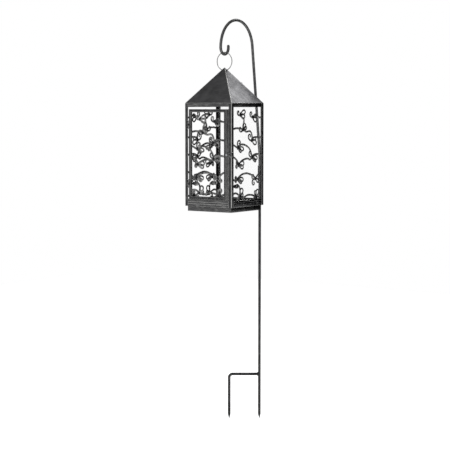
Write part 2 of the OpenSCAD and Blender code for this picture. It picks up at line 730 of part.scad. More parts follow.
lower_pole();
fork_prong();
fork_weld();
coupling_sleeve();
hook_rod();
hanging_ring();
roof_shell();
top_rails();
post(0);  // post_front_left
post(90);  // post_front_right
post(270);  // post_back_left
post(180);  // post_back_right
skirt_panels();
plinth_pan();
floor_plate();
floor_rivets();
side_scrollwork(270);  // left_scrollwork
side_scrollwork(90);  // right_scrollwork
back_pane();
pane_clips();
hinge_post_leaves();
hinge_pins();
latch_keeper();
ceiling_plate();
ceiling_screws();
cell_gasket();
cell_bezel();
solar_cell();
lead_grommet();
solar_lead();
module_housing();
module_base();
base_screws();
led_lens();
led();
circuit_board();
battery_holder();
battery();
contact_spring();
contact_plate();
switch_body();
switch_slider();
door_frame();
latch_strip();
door_scrollwork();
hinge_door_leaves();
latch_rivet();
latch_washer();
latch_hook();
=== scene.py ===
# Solar garden lantern on a shepherd's hook stake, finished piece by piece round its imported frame.
import json
import math

import bmesh
import bpy
from mathutils import Matrix, Vector


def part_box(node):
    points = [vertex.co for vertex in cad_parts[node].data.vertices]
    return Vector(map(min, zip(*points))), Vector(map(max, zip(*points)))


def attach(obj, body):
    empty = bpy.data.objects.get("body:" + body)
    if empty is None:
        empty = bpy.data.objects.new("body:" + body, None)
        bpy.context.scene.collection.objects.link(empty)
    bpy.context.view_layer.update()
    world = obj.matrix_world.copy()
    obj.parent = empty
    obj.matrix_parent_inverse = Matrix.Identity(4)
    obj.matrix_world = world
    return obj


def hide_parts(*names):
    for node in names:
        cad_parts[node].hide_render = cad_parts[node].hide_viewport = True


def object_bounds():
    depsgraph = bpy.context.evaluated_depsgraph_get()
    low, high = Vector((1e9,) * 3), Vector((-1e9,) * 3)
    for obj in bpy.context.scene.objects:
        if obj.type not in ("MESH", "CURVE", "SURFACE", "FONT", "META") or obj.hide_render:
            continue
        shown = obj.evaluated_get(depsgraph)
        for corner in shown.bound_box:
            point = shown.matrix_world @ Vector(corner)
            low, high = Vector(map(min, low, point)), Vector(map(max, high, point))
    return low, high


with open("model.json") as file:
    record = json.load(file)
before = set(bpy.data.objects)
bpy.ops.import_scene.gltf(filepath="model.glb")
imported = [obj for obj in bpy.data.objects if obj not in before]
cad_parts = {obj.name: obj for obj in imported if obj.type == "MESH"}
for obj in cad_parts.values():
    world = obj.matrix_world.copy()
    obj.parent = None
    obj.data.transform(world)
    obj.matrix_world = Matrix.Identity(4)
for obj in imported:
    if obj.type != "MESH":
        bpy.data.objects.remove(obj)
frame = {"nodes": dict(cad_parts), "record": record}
cad_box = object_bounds()
bpy.ops.object.select_all(action="DESELECT")


# ---------------------------------------------------------------------------------------
# Lower pole
# A 7 mm mild-steel rod with a ground point, powder coated antique black. Handling and a
# rub with pewter paste leave lighter streaks that run along the rod.

MM = 0.001
BLACK_ENAMEL = "#343436"
WARM_BLACK = "#262627"
# Pewter of the rubbed streaks and worn edges; it is also painted highlight on the crook and on the
# skirt's door-side beads.
PEWTER_RUB_AND_HIGHLIGHT = "#b9b9b7"
ALONG_Z = (1.0, 1.0, 0.12)
SHARP = math.radians(35)
WIDE_EDGE_STEPS = 4


def tone(hex_colour, alpha=1.0):
    """A linear colour from an sRGB hex value."""
    parts = [int(hex_colour[i:i + 2], 16) / 255 for i in (1, 3, 5)]
    linear = [p / 12.92 if p <= 0.04045 else ((p + 0.055) / 1.055) ** 2.4 for p in parts]
    return (*linear, alpha)


def add_node(tree, kind, settings=None, links=None):
    """Adds a node, sets its sockets and properties, and links its inputs."""
    node = tree.nodes.new(kind)
    for key, value in (settings or {}).items():
        if isinstance(key, int) or key in node.inputs:
            node.inputs[key].default_value = value
        else:
            setattr(node, key, value)
    for key, source in (links or {}).items():
        tree.links.new(source, node.inputs[key])
    return node


def new_material(name, **sockets):
    """A material with one principled shader, whose sockets are set by name."""
    material = bpy.data.materials.new(name)
    material.use_nodes = True
    tree = material.node_tree
    tree.nodes.clear()
    shader = add_node(tree, "ShaderNodeBsdfPrincipled",
                      {key.replace("_", " "): value for key, value in sockets.items()})
    add_node(tree, "ShaderNodeOutputMaterial", links={"Surface": shader.outputs[0]})
    return material, tree, shader


def ramp(tree, source, stops):
    """A colour ramp through (position, grey or colour) stops."""
    node = add_node(tree, "ShaderNodeValToRGB", links={0: source})
    band = node.color_ramp
    while len(band.elements) < len(stops):
        band.elements.new(0.5)
    for element, (place, colour) in zip(band.elements, stops):
        element.position = place
        element.color = colour if isinstance(colour, tuple) else (colour, colour, colour, 1)
    return node


def antique_black(name, stretch, rub, base=BLACK_ENAMEL, gloss=0.36):
    """Antique black powder coat rubbed with pewter: dark, satin, with soft metal streaks.

    stretch shortens the pattern along an axis, and rub is how much pewter shows.
    """
    material, tree, shader = new_material(name, Metallic=1.0, Specular_Tint=tone("#8a8a8a"))
    place = add_node(tree, "ShaderNodeTexCoord")
    turned = add_node(tree, "ShaderNodeMapping", {"Scale": stretch},
                      {"Vector": place.outputs["Object"]})
    streaks = add_node(tree, "ShaderNodeTexNoise",
                       {"Scale": 1 / (1.6 * MM), "Detail": 4.0, "Roughness": 0.6},
                       {"Vector": turned.outputs[0]})
    patches = add_node(tree, "ShaderNodeTexNoise",
                       {"Scale": 1 / (26 * MM), "Detail": 3.0, "Roughness": 0.55},
                       {"Vector": place.outputs["Object"]})
    grit = add_node(tree, "ShaderNodeTexNoise",
                    {"Scale": 1 / (0.7 * MM), "Detail": 2.0},
                    {"Vector": place.outputs["Object"]})
    streak_mask = ramp(tree, streaks.outputs["Fac"], [(0.42, 0.0), (0.74, 1.0)])
    patch_mask = ramp(tree, patches.outputs["Fac"], [(0.36, 0.25), (0.7, 1.0)])
    rubbed = add_node(tree, "ShaderNodeMath", {"operation": "MULTIPLY"},
                      {0: streak_mask.outputs[0], 1: patch_mask.outputs[0]})
    amount = add_node(tree, "ShaderNodeMath", {"operation": "MULTIPLY", 1: rub},
                      {0: rubbed.outputs[0]})
    # Faces marked in the wear attribute turn pewter: rubbed wear on eased edges, and a painted highlight
    # on the skirt's door-side beads.
    edge = add_node(tree, "ShaderNodeAttribute", {"attribute_name": "pewter_wear_and_highlight"})
    edge_break = ramp(tree, grit.outputs["Fac"], [(0.3, 0.35), (0.55, 1.0)])
    edge_wear_and_highlight = add_node(tree, "ShaderNodeMath", {"operation": "MULTIPLY"},
                         {0: edge.outputs["Fac"], 1: edge_break.outputs[0]})
    mask = add_node(tree, "ShaderNodeMath", {"operation": "MAXIMUM"},
                    {0: amount.outputs[0], 1: edge_wear_and_highlight.outputs[0]})
    coat = add_node(tree, "ShaderNodeMix", {"data_type": "RGBA"},
                    {"Factor": patches.outputs["Fac"]})
    coat.inputs[6].default_value = tone(base)
    coat.inputs[7].default_value = tone(WARM_BLACK)
    colour = add_node(tree, "ShaderNodeMix", {"data_type": "RGBA"}, {"Factor": mask.outputs[0]})
    tree.links.new(coat.outputs[2], colour.inputs[6])
    colour.inputs[7].default_value = tone(PEWTER_RUB_AND_HIGHLIGHT)
    tree.links.new(colour.outputs[2], shader.inputs["Base Color"])
    rough = add_node(tree, "ShaderNodeMapRange",
                     {"To Min": gloss - 0.06, "To Max": gloss + 0.16},
                     {"Value": streaks.outputs["Fac"]})
    tree.links.new(rough.outputs[0], shader.inputs["Roughness"])
    bump = add_node(tree, "ShaderNodeBump", {"Strength": 0.25, "Distance": 0.12 * MM},
                    {"Height": grit.outputs["Fac"]})
    tree.links.new(bump.outputs[0], shader.inputs["Normal"])
    return material


def only(piece):
    """Selects one object alone and makes it active."""
    bpy.ops.object.select_all(action="DESELECT")
    piece.select_set(True)
    bpy.context.view_layer.objects.active = piece


def body_of(node):
    """The name of the moving body that a node belongs to."""
    groups = frame["record"]["behaviour"]["bodies"]
    return next(body for body, members in groups.items() if node in members)


def mark_wear_and_highlight(piece, is_bare_metal):
    """Marks the faces that the picker chooses as bare pewter: rubbed wear on edges and curls, and a
    painted highlight on the skirt's door-side beads.
    """
    pewter_wear_and_highlight = piece.data.attributes.new("pewter_wear_and_highlight", "FLOAT", "CORNER")
    for face in piece.data.polygons:
        for corner in face.loop_indices:
            pewter_wear_and_highlight.data[corner].value = 1.0 if is_bare_metal(face) else 0.0


def dress(piece, material, node):
    """Gives a finished piece its material, its body and its node."""
    piece.data.materials.clear()
    piece.data.materials.append(material)
    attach(piece, body_of(node))
    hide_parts(node)


def ease_edges(piece, edge_mm, steps, is_edge):
    """Rounds the sharp edges that is_edge picks; the new faces take material place 1."""
    bpy.ops.object.mode_set(mode="EDIT")
    bpy.ops.mesh.select_mode(type="EDGE")
    bpy.ops.mesh.select_all(action="DESELECT")
    shape = bmesh.from_edit_mesh(piece.data)
    for edge in shape.edges:
        sharp = len(edge.link_faces) == 2 and edge.calc_face_angle() > SHARP
        edge.select = sharp and is_edge(edge.verts[0].co, edge.verts[1].co)
    bmesh.update_edit_mesh(piece.data)
    bpy.ops.mesh.bevel(offset=edge_mm * MM, segments=steps, affect="EDGES",
                       clamp_overlap=True, material=1)
    bpy.ops.object.mode_set(mode="OBJECT")


def eased_copy(node, name, edge_mm, steps=2, worn=True, first=None):
    """A copy of a node's shape with its edges rounded, the rounded faces marked as worn.

    first is (width, picker) for edges that are rounded more than the rest, before them.
    """
    piece = bpy.data.objects.new(name, frame["nodes"][node].data.copy())
    piece.data.name = name
    bpy.context.collection.objects.link(piece)
    piece.data.materials.clear()
    piece.data.materials.append(None)
    piece.data.materials.append(None)
    only(piece)
    bpy.ops.object.mode_set(mode="EDIT")
    bpy.ops.mesh.select_all(action="SELECT")
    bpy.ops.mesh.remove_doubles(threshold=0.002 * MM)
    bpy.ops.mesh.dissolve_limited(angle_limit=math.radians(0.5))
    bpy.ops.object.mode_set(mode="OBJECT")
    for face in piece.data.polygons:
        face.material_index = 0
    if first:
        ease_edges(piece, first[0], WIDE_EDGE_STEPS, first[1])
    if edge_mm > 0:
        ease_edges(piece, edge_mm, steps, lambda start, end: True)
    if worn:
        mark_wear_and_highlight(piece, lambda face: face.material_index == 1)
    for face in piece.data.polygons:
        face.material_index = 0
    only(piece)
    bpy.ops.object.shade_smooth_by_angle(angle=math.radians(32))
    return piece


rod_finish = antique_black("antique_black_rod_coat", ALONG_Z, 0.3, gloss=0.42)

pole = eased_copy("lower_pole", "pole_rod", 0)
dress(pole, rod_finish, "lower_pole")


# ---------------------------------------------------------------------------------------
# Fork prong, weld and coupling sleeve
# The second prong is the same rod bent through a right angle and welded to the pole. The
# sleeve is a short tube crimped on the pole's top, which takes the hook's lower end.

prong = eased_copy("fork_prong", "fork_prong_rod", 0)
dress(prong, rod_finish, "fork_prong")

weld = eased_copy("fork_weld", "fork_weld_bead", 0)
dress(weld, rod_finish, "fork_weld")

sleeve = eased_copy("coupling_sleeve", "coupling_sleeve_tube", 0.5, steps=3)
dress(sleeve, rod_finish, "coupling_sleeve")


# ---------------------------------------------------------------------------------------
# Hook rod
# The upper half of the stake, one rod bent into a crook that ends in a small upturned
# seat. Its coat is the pole's antique black painted lighter and with more pewter, a painted
# highlight along the upper rod, and it turns in the sleeve.

# Lighter base and more pewter than the pole's coat: a painted highlight along the upper rod.
crook_highlight_finish = antique_black("antique_black_crook_painted_highlight", ALONG_Z, 0.6, "#606061", 0.3)
hook = eased_copy("hook_rod", "crook_rod", 0)
dress(hook, crook_highlight_finish, "hook_rod")


# ---------------------------------------------------------------------------------------
# Hanging ring
# A plain ring of dulled plated wire, bent round and butted, not welded. It passes over the
# hook's seat and through the two holes under the roof's peak.

RING_WIRE = "#979796"
ring_lo, ring_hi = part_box("hanging_ring")
ring_centre = [(a + b) / 2 for a, b in zip(ring_lo, ring_hi)]
wire_r = (ring_hi[1] - ring_lo[1]) / 2
ring_r = (ring_hi[2] - ring_lo[2]) / 2 - wire_r
RING_STEPS = 120
BUTT_AT = 20
BUTT_TURN = 1.2
WIRE_SHRINK = 0.99

ring_path = bpy.data.curves.new("ring_path", "CURVE")
ring_path.dimensions = "3D"
ring_line = ring_path.splines.new("POLY")
ring_line.points.add(RING_STEPS)
for step in range(RING_STEPS + 1):
    turn = math.radians(BUTT_AT + BUTT_TURN / 2 + (360 - BUTT_TURN) * step / RING_STEPS)
    ring_line.points[step].co = (ring_centre[0] + ring_r * math.cos(turn), ring_centre[1],
                                 ring_centre[2] + ring_r * math.sin(turn), 1)
ring_path.bevel_depth = wire_r * WIRE_SHRINK
ring_path.bevel_resolution = 5
ring_path.use_fill_caps = True
ring = bpy.data.objects.new("wire_ring", ring_path)
bpy.context.collection.objects.link(ring)
only(ring)
bpy.ops.object.convert(target="MESH")
bpy.ops.object.shade_smooth_by_angle(angle=math.radians(40))

ring_metal, tree, shader = new_material("bright_plated_wire", Metallic=1.0, Roughness=0.22)
place = add_node(tree, "ShaderNodeTexCoord")
dull = add_node(tree, "ShaderNodeTexNoise", {"Scale": 1 / (3 * MM), "Detail": 3.0},
                {"Vector": place.outputs["Object"]})
plate = ramp(tree, dull.outputs["Fac"], [(0.3, tone("#767675")), (0.65, tone(RING_WIRE))])
tree.links.new(plate.outputs[0], shader.inputs["Base Color"])
dress(ring, ring_metal, "hanging_ring")


# ---------------------------------------------------------------------------------------
# Roof shell
# Four folded triangles of sheet steel with soft ridges, drilled under the peak for the
# ring. The coat is brushed across the slopes, so pewter shows in faint level streaks.

ACROSS = (0.1, 0.1, 1.0)
RIDGE_EASE = 1.0
LONG_EDGE = 60 * MM
roof_finish = antique_black("antique_black_roof_coat", ACROSS, 0.12, "#6e6e6f", 0.32)
roof_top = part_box("roof_shell")[1][2]
roof_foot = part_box("roof_shell")[0][2]
roof_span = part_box("roof_shell")[1][0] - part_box("roof_shell")[0][0]


def is_ridge(start, end):
    """A long sloping edge that climbs to the peak, or one of the eave's outer edges."""
    climbs = abs(start.z - end.z) > LONG_EDGE and max(start.z, end.z) > roof_top - 3 * MM
    level = max(start.z, end.z) < roof_foot + 0.2 * MM and (start - end).length > roof_span - 2 * MM
    return climbs or level


roof = eased_copy("roof_shell", "pyramid_roof", 0.3, first=(RIDGE_EASE, is_ridge))
dress(roof, roof_finish, "roof_shell")


# ---------------------------------------------------------------------------------------
# Body: rails, corner posts, skirt, plinth and plates
# Angle posts of folded sheet, spot welded to the rails above and the skirt below, with a
# smaller folded pan as the plinth. Rubbing has bared the outer corners.

CORNER_EASE = 1.35
sheet_finish = antique_black("antique_black_sheet_coat", ALONG_Z, 0.4, gloss=0.34)
flat_finish = antique_black("antique_black_skirt_coat", ACROSS, 0.55, "#525253", 0.22)
for corner in ("front_left", "front_right", "back_left", "back_right"):
    lo, hi = (Vector(limit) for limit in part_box(f"post_{corner}"))
    outer = Vector((lo.x if lo.x < 0 else hi.x, lo.y if "front" in corner else hi.y, 0))
    post = eased_copy(f"post_{corner}", f"angle_post_{corner}", 0.3,
                      first=(CORNER_EASE, lambda start, end: (start.xy - outer.xy).length < 0.1 * MM
                             and (end.xy - outer.xy).length < 0.1 * MM))
    dress(post, sheet_finish, f"post_{corner}")
for node, name in (("top_rails", "top_rail_strips"), ("skirt_panels", "skirt_strips"),
                   ("plinth_pan", "plinth_tray"), ("floor_plate", "floor_sheet"),
                   ("ceiling_plate", "ceiling_sheet")):
    dress(eased_copy(node, name, 0.4), flat_finish, node)


# ---------------------------------------------------------------------------------------
# Scrollwork panels
# Vine tracery with pods, curled tendrils and leaf loops, pressed from wire and thin sheet
# and soldered into a narrow border. The pods stay black, the curls are rubbed lighter.

# The vine is drawn on a panel this wide and high, from the upper left corner, in millimetres.
VINE_W = 120.0
VINE_H = 228.5
STROKE = 2.6
FINE_STROKE = 2.2
RELIEF = 0.42
STROKE_INSET = 0.6
LOOP_SHARE = 0.8
TENDRIL_ROOT = 1.15
TENDRIL_TAPER = 0.2
POD_REACH = (-6, -4, -2, 0, 2, 4, 6.5)
POD_TIP = 1.2
POD_BELLY = 3.2
BORDER_LAP = 4.6
BORDER_SEEN = 1.0
SHEET_HALF = 0.55
PANEL_RIM = 5

# Stems: points from border to pod to pod, across and down.
STEMS = [
    [(0, 54), (14, 52), (30, 53), (42, 56)],
    [(31, 19), (38, 27), (46, 31), (44, 45), (42, 56)],
    [(42, 56), (56, 61), (72, 60), (80, 70), (80, 82)],
    [(84, 26), (98, 22), (110, 26), (120, 27)],
    [(80, 82), (86, 76), (102, 75), (120, 76)],
    [(0, 92), (8, 95), (14, 98), (21, 99)],
    [(21, 99), (34, 92), (52, 94), (68, 102), (76, 112), (80, 124)],
    [(80, 124), (90, 118), (104, 117), (120, 119)],
    [(0, 121), (10, 126), (18, 132), (23, 141)],
    [(23, 141), (34, 133), (50, 128), (62, 127), (72, 130), (80, 124)],
    [(0, 176), (8, 179), (14, 178), (19, 176)],
    [(19, 176), (32, 167), (54, 163), (76, 167), (90, 173), (96, 178)],
    [(96, 178), (104, 170), (112, 164), (120, 161)],
    [(7, 193), (16, 190), (26, 194), (30, 206), (29, 219)],
    [(29, 219), (44, 222), (62, 217), (82, 218), (97, 224)],
    [(97, 224), (108, 223), (120, 220)],
    [(0, 212), (10, 210), (20, 213), (29, 219)],
]
# Pods: place, and the way each one points, in degrees from across towards up.
PODS = [(31, 19, 75), (84, 26, 130), (42, 56, 150), (80, 82, 60), (21, 99, 60), (80, 124, 65),
        (23, 141, 85), (19, 176, 60), (96, 178, 120), (7, 193, 20), (29, 219, 130), (97, 224, 150)]
# Leaf loops: place, direction, length and width.
LOOPS = [(31, 19, 22, 27, 11), (31, 19, -18, 24, 10), (84, 26, -30, 22, 11), (84, 26, 20, 20, 8),
         (42, 56, 60, 21, 13), (42, 56, 20, 20, 8), (80, 82, -25, 26, 12), (80, 82, 15, 22, 8),
         (21, 99, -12, 30, 10), (21, 99, -38, 22, 8), (80, 124, -8, 29, 11), (80, 124, -32, 25, 8),
         (23, 141, 8, 29, 12), (23, 141, -22, 27, 10), (19, 176, -5, 30, 11), (19, 176, -28, 25, 9),
         (96, 178, -30, 19, 8), (7, 193, 0, 20, 8), (29, 219, 62, 27, 13), (29, 219, 20, 18, 9),
         (97, 224, 62, 26, 11), (97, 224, 100, 20, 8)]
# Tendrils: place, starting direction, size, and the way it curls (1 is anticlockwise).
TENDRILS = [(31, 19, 215, 17, -1), (84, 26, 195, 19, -1), (42, 56, 235, 19, -1),
            (80, 82, 200, 22, -1), (21, 99, 130, 21, -1), (80, 124, 190, 20, -1),
            (23, 141, 150, 15, 1), (23, 141, 200, 14, -1), (19, 176, 150, 14, 1),
            (19, 176, 215, 13, -1), (96, 178, 165, 22, 1), (96, 178, 215, 20, -1),
            (7, 193, 300, 14, 1), (29, 219, 165, 18, 1), (97, 224, 170, 21, 1),
            (97, 224, 200, 16, 1)]
TENDRIL_STEPS = 16
STRIDE_START = 0.15
STRIDE_FALL = 0.085
BEND_START = 10
BEND_GROWTH = 28
LOOP_STEPS = 18


def tendril_points(across, down, heading, size, curl):
    """A curl that winds tighter along its length, like a vine's."""
    points = [(across, down)]
    for step in range(TENDRIL_STEPS):
        share = step / TENDRIL_STEPS
        stride = size * (STRIDE_START - STRIDE_FALL * share)
        heading += curl * (BEND_START + BEND_GROWTH * share)
        across += stride * math.cos(math.radians(heading))
        down -= stride * math.sin(math.radians(heading))
        points.append((across, down))
    return points


def loop_points(across, down, heading, length, width):
    """A closed leaf outline with its tip at the pod."""
    c, s = math.cos(math.radians(heading)), math.sin(math.radians(heading))
    points = []
    for step in range(LOOP_STEPS + 1):
        turn = 2 * math.pi * step / LOOP_STEPS
        along = length * (1 - math.cos(turn)) / 2
        aside = width / 2 * math.sin(turn) * (0.35 + 0.65 * along / length) * 1.25
        points.append((across + along * c - aside * s, down - along * s - aside * c))
    return points


def rounded(points, steps=6):
    """A smooth line through given points."""
    line = []
    padded = [points[0], *points, points[-1]]
    for p0, p1, p2, p3 in zip(padded, padded[1:], padded[2:], padded[3:]):
        for step in range(steps):
            t = step / steps
            line.append(tuple(0.5 * (2 * b + (c - a) * t + (2 * a - 5 * b + 4 * c - d) * t ** 2
                                     + (3 * b - a - 3 * c + d) * t ** 3)
                              for a, b, c, d in zip(p0, p1, p2, p3)))
    return [*line, points[-1]]


def stroke_mesh(name, strokes):
    """Round strokes along lines of (across, down), each with a rule for its radius along it."""
    path = bpy.data.curves.new(name, "CURVE")
    path.dimensions = "3D"
    path.bevel_depth = MM
    path.bevel_resolution = 2
    path.use_fill_caps = True
    for points, radii in strokes:
        line = path.splines.new("POLY")
        line.points.add(len(points) - 1)
        for i, (point, (across, down)) in enumerate(zip(line.points, points)):
            share = i / (len(points) - 1)
            point.co = (across * MM, 0, -down * MM, 1)
            point.radius = radii(share)
    piece = bpy.data.objects.new(name, path)
    bpy.context.collection.objects.link(piece)
    only(piece)
    bpy.ops.object.convert(target="MESH")
    return piece


def clipped(points):
    """Keeps a stroke's points within the border."""
    low = STROKE_INSET
    return [(min(max(x, low), VINE_W - low), min(max(y, low), VINE_H - low)) for x, y in points]


def vine_panel(node, name, width, height, place):
    """Builds a panel of the given opening in millimetres and puts it where place says."""
    def fit(points):
        return [(x * width / VINE_W, y * height / VINE_H) for x, y in clipped(points)]

    bright = [(fit(rounded(stem)), lambda share: STROKE) for stem in STEMS]
    bright += [(fit(loop_points(across, down, heading, LOOP_SHARE * length, leaf_w)),
                lambda share: FINE_STROKE) for across, down, heading, length, leaf_w in LOOPS]
    bright += [(fit(tendril_points(*curl)),
                lambda share: FINE_STROKE * (TENDRIL_ROOT - TENDRIL_TAPER * share))
               for curl in TENDRILS]
    dark = []
    for across, down, heading in PODS:
        c, s = math.cos(math.radians(heading)), math.sin(math.radians(heading))
        line = [(across + reach * c, down - reach * s) for reach in POD_REACH]
        dark.append((fit(line),
                     lambda share: POD_TIP + POD_BELLY * math.sin(math.pi * share) ** 1.5))
    pieces = []
    for part, strokes, worn in (("curls", bright, True), ("pods", dark, False)):
        piece = stroke_mesh(f"{name}_{part}", strokes)
        mark_wear_and_highlight(piece, lambda face: worn)
        pieces.append(piece)

    bpy.ops.mesh.primitive_plane_add(size=1)
    border = bpy.context.object
    lap = BORDER_LAP
    border.data.transform(Matrix.Translation((width / 2 * MM, 0, -height / 2 * MM))
                          @ Matrix.Rotation(math.radians(90), 4, "X")
                          @ Matrix.Diagonal(((width + 2 * lap) * MM, (height + 2 * lap) * MM, 1, 1)))
    bpy.ops.object.mode_set(mode="EDIT")
    bpy.ops.mesh.inset(thickness=(lap + BORDER_SEEN) * MM)
    bpy.ops.mesh.delete(type="FACE")
    bpy.ops.mesh.select_all(action="SELECT")
    bpy.ops.mesh.extrude_region_move(TRANSFORM_OT_translate={"value": (0, 2 * SHEET_HALF * MM, 0)})
    bpy.ops.mesh.select_all(action="SELECT")
    bpy.ops.transform.translate(value=(0, -SHEET_HALF * MM, 0))
    bpy.ops.mesh.normals_make_consistent(inside=False)
    bpy.ops.object.mode_set(mode="OBJECT")
    mark_wear_and_highlight(border, lambda face: False)
    pieces.append(border)

    for piece in pieces[:2]:
        piece.data.transform(Matrix.Diagonal((1, RELIEF, 1, 1)))
    bpy.ops.object.select_all(action="DESELECT")
    for piece in pieces:
        piece.select_set(True)
    bpy.context.view_layer.objects.active = pieces[0]
    bpy.ops.object.join()
    panel = bpy.context.object
    panel.name = name
    panel.data.name = name
    panel.data.transform(place)
    bpy.ops.object.shade_smooth_by_angle(angle=math.radians(45))
    dress(panel, scroll_finish, node)
    return panel


scroll_finish, tree, shader = new_material("rubbed_vine_metal", Metallic=1.0, Roughness=0.46,
                                           Specular_Tint=tone("#707070"))
place = add_node(tree, "ShaderNodeTexCoord")
mottle = add_node(tree, "ShaderNodeTexNoise", {"Scale": 1 / (7 * MM), "Detail": 4.0},
                  {"Vector": place.outputs["Object"]})
rub = add_node(tree, "ShaderNodeAttribute", {"attribute_name": "pewter_wear_and_highlight"})
curls = ramp(tree, mottle.outputs["Fac"],
             [(0.36, tone("#3a3a3b")), (0.5, tone("#666666")), (0.66, tone("#9a9a99"))])
vine = add_node(tree, "ShaderNodeMix", {"data_type": "RGBA"}, {"Factor": rub.outputs["Fac"]})
vine.inputs[6].default_value = tone("#2b2b2d")
tree.links.new(curls.outputs[0], vine.inputs[7])
tree.links.new(vine.outputs[2], shader.inputs["Base Color"])


def panel_opening(node):
    """The middle of a panel's box and its opening's width and height in millimetres."""
    lo, hi = (Vector(corner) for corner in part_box(node))
    middle = (lo + hi) / 2
    span = hi - lo
    return middle, max(span.x, span.y) / MM - 2 * PANEL_RIM, span.z / MM - 2 * PANEL_RIM


for node, name, turn in (("door_scrollwork", "door_vine", 0), ("right_scrollwork", "right_vine", 90),
                         ("left_scrollwork", "left_vine", -90)):
    middle, width, height = panel_opening(node)
    upper_left = (Matrix.Translation(middle) @ Matrix.Rotation(math.radians(turn), 4, "Z")
                  @ Matrix.Translation((-width / 2 * MM, 0, height / 2 * MM)))
    vine_panel(node, name, width, height, upper_left)


# ---------------------------------------------------------------------------------------
# Skirt beads
# Two fine half-round beads are pressed into each side of the skirt to stiffen it. Those on
# the door's side are painted bare pewter, a painted highlight for the light they catch there.

BEAD_R = 0.6
BEAD_STOP = 9.6
BEAD_ROWS = (0.30, 0.62)
skirt_lo, skirt_hi = (Vector(corner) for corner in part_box("skirt_panels"))
skirt_middle = (skirt_lo + skirt_hi) / 2
skirt_w = (skirt_hi.x - skirt_lo.x) / MM
skirt_deep = (skirt_hi.z - skirt_lo.z) / MM
for side in range(4):
    rows = [([(-skirt_w / 2 + BEAD_STOP, down), (skirt_w / 2 - BEAD_STOP, down)], lambda share: BEAD_R)
            for down in (share * skirt_deep for share in BEAD_ROWS)]
    beads = stroke_mesh(f"skirt_beads_{side + 1}", rows)
    place = (Matrix.Translation(skirt_middle + Vector((0, 0, skirt_deep / 2 * MM)))
             @ Matrix.Rotation(math.radians(90 * side), 4, "Z")
             @ Matrix.Translation((0, -skirt_w / 2 * MM, 0)))
    beads.data.transform(place)
    # Only the door side's beads are painted pewter: a painted highlight, not wear.
    mark_wear_and_highlight(beads, lambda face: side == 0)
    bpy.ops.object.shade_smooth_by_angle(angle=math.radians(50))
    dress(beads, flat_finish, "skirt_panels")


# ---------------------------------------------------------------------------------------
# Door frame, latch strip, hinges and latch
# The door is a frame of folded sheet, stiffer on the latch side, on two small butt hinges.
# A flat hook on a rivet drops over a peg on the keeper at the front corner. Its arm is a
# little thinner than its sheet, which leaves play under the rivet's head.

STRIP_EASE = 1.2
ARM_THINNED = 0.94
door = eased_copy("door_frame", "door_sheet_frame", 0.45)
dress(door, sheet_finish, "door_frame")
strip = eased_copy("latch_strip", "latch_side_strip", 0.3,
                   first=(STRIP_EASE, lambda start, end: abs(start.z - end.z) > LONG_EDGE))
dress(strip, sheet_finish, "latch_strip")
for node, name in (("hinge_post_leaves", "hinge_leaves_post"),
                   ("hinge_door_leaves", "hinge_leaves_door"), ("latch_hook", "latch_hook_arm")):
    piece = eased_copy(node, name, 0.15)
    if node == "latch_hook":
        middle = sum(corner[1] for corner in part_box(node)) / 2
        piece.data.transform(Matrix.Translation((0, middle, 0)) @ Matrix.Diagonal((1, ARM_THINNED, 1, 1))
                             @ Matrix.Translation((0, -middle, 0)))
    dress(piece, sheet_finish, node)

zinc, tree, shader = new_material("zinc_plate", Metallic=1.0, Roughness=0.34)
place = add_node(tree, "ShaderNodeTexCoord")
spangle = add_node(tree, "ShaderNodeTexVoronoi", {"Scale": 1 / (2.2 * MM)},
                   {"Vector": place.outputs["Object"]})
zinc_tone = ramp(tree, spangle.outputs["Distance"], [(0.0, tone("#b4b6b8")), (1.0, tone("#8e9092"))])
tree.links.new(zinc_tone.outputs[0], shader.inputs["Base Color"])
for node, name, edge in (("hinge_pins", "hinge_pin_rods", 0.2), ("latch_keeper", "keeper_clip", 0.25),
                         ("latch_rivet", "latch_rivet_pin", 0.3),
                         ("latch_washer", "latch_spacer", 0.1), ("pane_clips", "pane_clip_set", 0.2),
                         ("floor_rivets", "floor_rivet_set", 0.3),
                         ("ceiling_screws", "ceiling_screw_set", 0.2),
                         ("base_screws", "base_screw_set", 0.2),
                         ("contact_spring", "battery_spring", 0),
                         ("contact_plate", "battery_contact", 0.15)):
    kept = node == "latch_keeper"
    dress(eased_copy(node, name, edge, worn=kept), flat_finish if kept else zinc, node)


# ---------------------------------------------------------------------------------------
# Back pane
# A sheet of clear float glass, 2 mm thick with ground edges, held by four bent clips.

pane_glass, tree, shader = new_material("clear_float_glass", Roughness=0.03, IOR=1.52,
                                        Alpha=0.04)
place = add_node(tree, "ShaderNodeTexCoord")
waves = add_node(tree, "ShaderNodeTexNoise", {"Scale": 1 / (60 * MM), "Detail": 1.0},
                 {"Vector": place.outputs["Object"]})
tint = ramp(tree, waves.outputs["Fac"], [(0.3, tone("#f6faf9")), (0.7, tone("#fdfefe"))])
tree.links.new(tint.outputs[0], shader.inputs["Base Color"])
pane = eased_copy("back_pane", "glass_pane", 0.3, worn=False)
dress(pane, pane_glass, "back_pane")


# ---------------------------------------------------------------------------------------
# Solar cell, bezel, gasket, grommet and lead
# A laminated cell with fine silver fingers sits in a moulded black bezel on a rubber
# gasket, on the slope that faces the pole. Its lead runs to the module inside the roof.

cell_lo, cell_hi = (Vector(corner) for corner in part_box("solar_cell"))
cell_middle = (cell_lo + cell_hi) / 2
cell_rise = cell_hi.z - cell_lo.z
cell_run = cell_hi.y - cell_lo.y
slope = math.atan2(cell_rise, cell_run)

